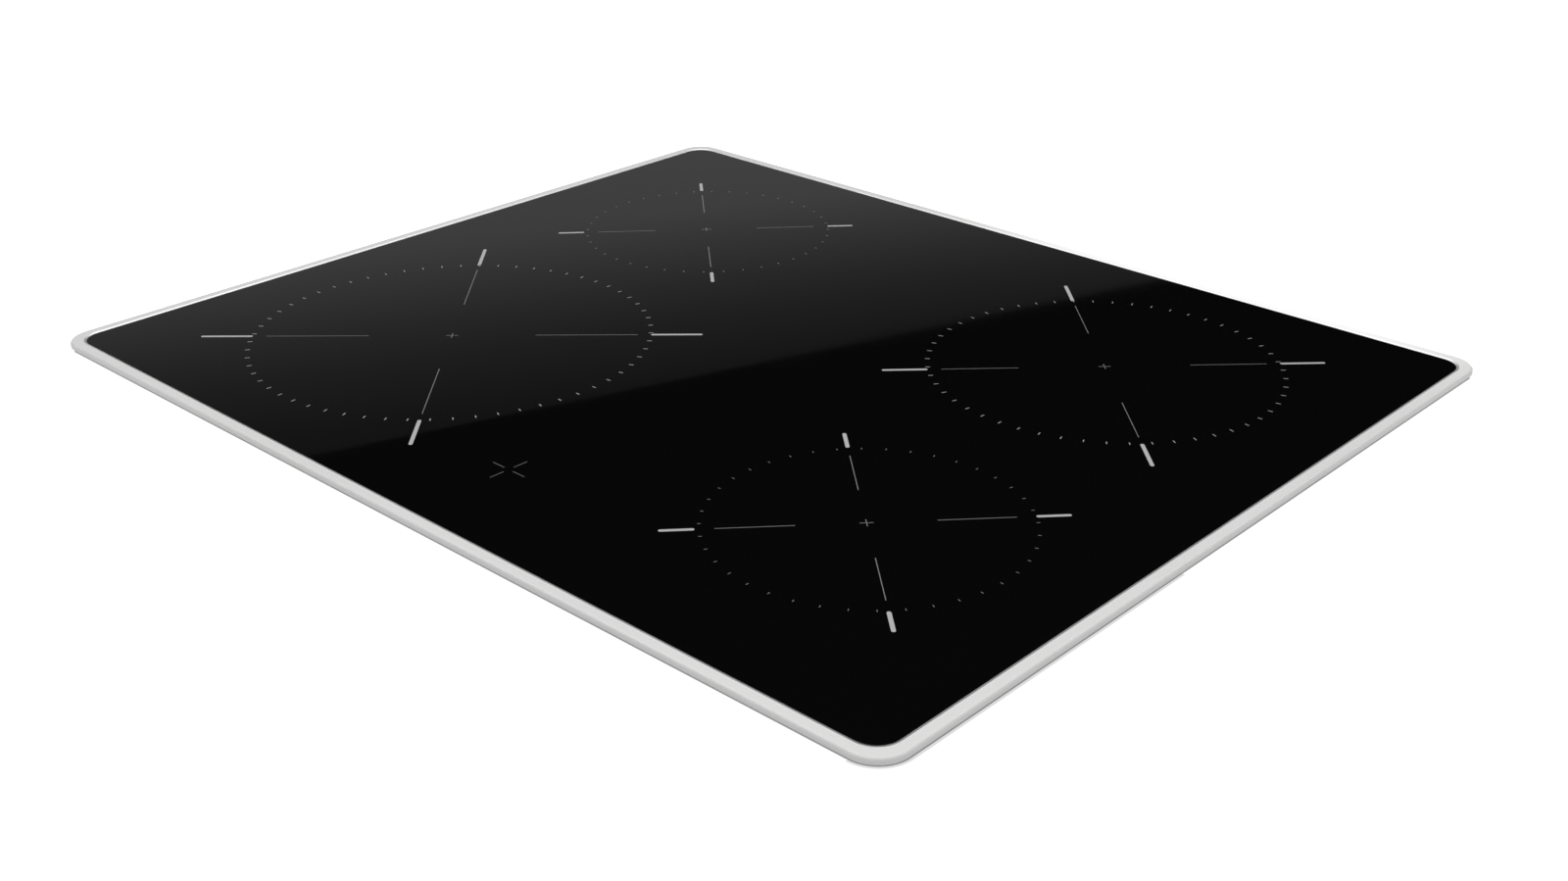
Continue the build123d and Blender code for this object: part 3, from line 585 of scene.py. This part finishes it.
# A pale panel overhead at the back left, which shows in the glass as a soft sheen that
# starts along a straight line. In the glass its edge runs between these two points.
SHEEN_FRONT = Vector((-0.0733, -0.246, GLASS_TOP))
SHEEN_BACK = Vector((0.1024, 0.246, GLASS_TOP))
SHEEN_REACH = 0.42  # how far the panel goes past its edge, as seen in the glass
SHEEN_PAST = 0.15  # and past the glass at both ends
PANEL_SCALE = 3  # the panel is this many times as far from the mirrored camera
SHEEN_STEPS = ((0.0, 0.040), (0.30, 0.078), (0.5, 0.118), (0.85, 0.208), (1.0, 0.245))
SHEEN_FULL = 0.26  # distance from the edge at which the sheen is brightest
SHEEN_SHIFT = -0.08  # below 0, the sheen starts this part of that distance past the edge
SHEEN_LEAN = 0.1  # it also grows along the edge, at this part of its rate across


def add_sheen_panel():
    """The pale panel, placed on the lines from the mirrored camera through the glass."""
    mirrored = GLASS_CENTRE + Vector((CAMERA_PLACE.x, CAMERA_PLACE.y, -CAMERA_PLACE.z))
    along = (SHEEN_BACK - SHEEN_FRONT).normalized()
    away = Vector((-along.y, along.x, 0))
    origin = mirrored + (SHEEN_FRONT - mirrored) * PANEL_SCALE
    length = (SHEEN_BACK - SHEEN_FRONT).length
    far = SHEEN_REACH * PANEL_SCALE
    start, end = -SHEEN_PAST * PANEL_SCALE, (length + SHEEN_PAST) * PANEL_SCALE
    corners = [(0, start, 0), (far, start, 0), (far, end, 0), (0, end, 0)]
    material, shine = glow("sheen_panel", (1, 1, 1), 1.0)
    tree = material.node_tree
    coordinates = tree.nodes.new("ShaderNodeTexCoord")
    split = tree.nodes.new("ShaderNodeSeparateXYZ")
    tree.links.new(coordinates.outputs["Object"], split.inputs[0])
    lean = tree.nodes.new("ShaderNodeMath")
    lean.operation = "MULTIPLY_ADD"
    lean.inputs[1].default_value = SHEEN_LEAN
    tree.links.new(split.outputs["Y"], lean.inputs[0])
    tree.links.new(split.outputs["X"], lean.inputs[2])
    scale = tree.nodes.new("ShaderNodeMath")
    scale.operation = "MULTIPLY_ADD"
    scale.inputs[1].default_value = 1 / (SHEEN_FULL * PANEL_SCALE)
    scale.inputs[2].default_value = SHEEN_SHIFT
    tree.links.new(lean.outputs[0], scale.inputs[0])
    ramp = tree.nodes.new("ShaderNodeValToRGB")
    tree.links.new(scale.outputs[0], ramp.inputs["Fac"])
    set_stops(ramp, SHEEN_STEPS)
    tree.links.new(ramp.outputs["Color"], shine.inputs["Color"])
    only_mirrored = {"camera": False, "shadow": False, "diffuse": False}
    panel = stage_plane("sheen_panel", corners, material, **only_mirrored)
    turn = Matrix((away, along, (0, 0, 1))).transposed().to_4x4()
    panel.matrix_world = Matrix.Translation(origin) @ turn


OVERHEAD_HEIGHT = 2.0
OVERHEAD_SIZE = 4.5
OVERHEAD_POWER = 69


def add_area_light(name, shape, place, size, power):
    """An area light that shines straight down."""
    light = bpy.data.lights.new(name, "AREA")
    light.shape = shape
    light.size, light.size_y = size
    light.energy = power
    lamp = bpy.data.objects.new(name, light)
    lamp.location = place
    scene.collection.objects.link(lamp)
    return lamp


def add_overhead():
    """The large soft disk overhead."""
    place, size = (0, 0, OVERHEAD_HEIGHT), (OVERHEAD_SIZE, OVERHEAD_SIZE)
    add_area_light("overhead", "DISK", place, size, OVERHEAD_POWER)


STRIP_PLACE = (0.13, 0.293, 0.085)
STRIP_SIZE = (0.28, 0.01)
STRIP_POWER = 0.15


def add_strip():
    """A low strip of light behind the right half of the back side, for the trim only."""
    lamp = add_area_light("strip", "RECTANGLE", STRIP_PLACE, STRIP_SIZE, STRIP_POWER)
    lamp.visible_camera = lamp.visible_glossy = False
    lit = bpy.data.collections.new("lit_by_strip")
    lit.objects.link(frame["nodes"]["trim_frame"])
    lamp.light_linking.receiver_collection = lit


# The studio as the object sees it: brightness by the height of the direction, from -1
# straight down to 1 straight up. Mirrored, it is dark above the horizon; as soft light it
# has a pale rim there.
MIRRORED_STEPS = ((-0.5, 0.78), (-0.3, 1.0), (-0.04, 1.0), (0.0, 0.0))
SOFT_STEPS = ((-0.5, 0.42), (-0.3, 0.8), (0.45, 0.6), (0.55, 0.0))


def add_world():
    """White where the camera looks past the floor, and pale under the horizon elsewhere."""
    world = bpy.data.worlds.new("studio")
    scene.world = world
    world.use_nodes = True
    tree = world.node_tree
    background = tree.nodes["Background"]
    coordinates = tree.nodes.new("ShaderNodeTexCoord")
    split = tree.nodes.new("ShaderNodeSeparateXYZ")
    tree.links.new(coordinates.outputs["Generated"], split.inputs[0])
    height = tree.nodes.new("ShaderNodeMapRange")
    height.inputs["From Min"].default_value = -1
    tree.links.new(split.outputs["Z"], height.inputs["Value"])
    path = tree.nodes.new("ShaderNodeLightPath")

    def by_height(steps):
        ramp = tree.nodes.new("ShaderNodeValToRGB")
        tree.links.new(height.outputs["Result"], ramp.inputs["Fac"])
        set_stops(ramp, [((z + 1) / 2, value) for z, value in steps])
        return ramp.outputs["Color"]

    def for_ray(kind, first):
        """A mix that shows first, or its other colour to rays of this kind."""
        mix = tree.nodes.new("ShaderNodeMix")
        mix.data_type = "RGBA"
        tree.links.new(path.outputs[kind], mix.inputs["Factor"])
        tree.links.new(first, mix.inputs[6])
        return mix.inputs[7], mix.outputs[2]

    soft_light, colour = for_ray("Is Diffuse Ray", by_height(MIRRORED_STEPS))
    tree.links.new(by_height(SOFT_STEPS), soft_light)
    backdrop, colour = for_ray("Is Camera Ray", colour)
    backdrop.default_value = (1, 1, 1, 1)
    tree.links.new(colour, background.inputs["Color"])


# ---------------------------------------------------------------- the scene

scene.view_settings.view_transform = "Standard"
add_camera()
dress_nodes(make_materials())
bar_print = print_enamel("bar_print", (0.44, 0.44, 0.435), (0.48, 0.48, 0.475))
tick_print = print_enamel("tick_print", (0.32, 0.32, 0.315), (0.36, 0.36, 0.355))
line_print = print_enamel("line_print", (0.22, 0.22, 0.215), (0.26, 0.26, 0.255))
faint_print = print_enamel("faint_print", (0.09, 0.09, 0.09), (0.11, 0.11, 0.11))
for zone_name in ZONES:
    add_zone_print(zone_name, bar_print, tick_print, line_print)
add_key_print(faint_print)
add_floor()
add_worktop_edge()
add_shadow_line()
add_sheen_panel()
add_overhead()
add_strip()
add_world()
